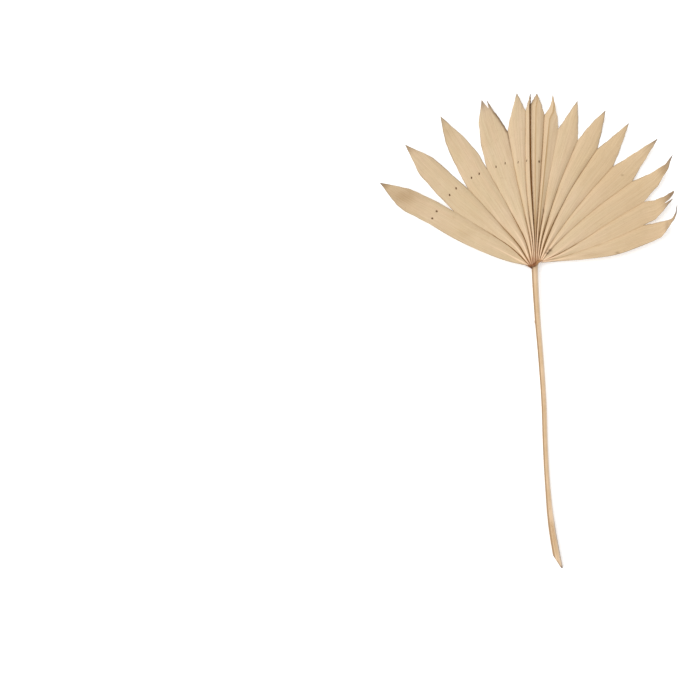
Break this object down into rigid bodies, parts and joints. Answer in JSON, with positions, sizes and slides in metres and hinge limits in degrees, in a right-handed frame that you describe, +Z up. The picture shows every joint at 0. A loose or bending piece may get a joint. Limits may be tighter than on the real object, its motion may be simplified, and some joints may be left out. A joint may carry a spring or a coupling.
{
  "type": "dried fan palm frond",
  "caption": "A dried, sun-cut fan palm leaf: one pleated fan blade with scissor-trimmed pointed fingers, a small brown crest and a slender bare stem. Lies flat; for dry arrangements.",
  "frame": {"origin": "the middle of the frond's footprint, on the surface it lies on", "axes": "+Z is up, away from the surface; the fingers point along +Y and the stem along -Y; +X is to the right as the frond is seen from above"},
  "size_m": [0.315, 0.5022, 0.0228],
  "materials": {
    "dry_blade": "matte",
    "dry_stem": "satin",
    "crest_fibre": "matte"
  },
  "bodies": {
    "root": {"blade": "dry_blade", "stem": "dry_stem", "crest": "crest_fibre"}
  },
  "joints": []
}
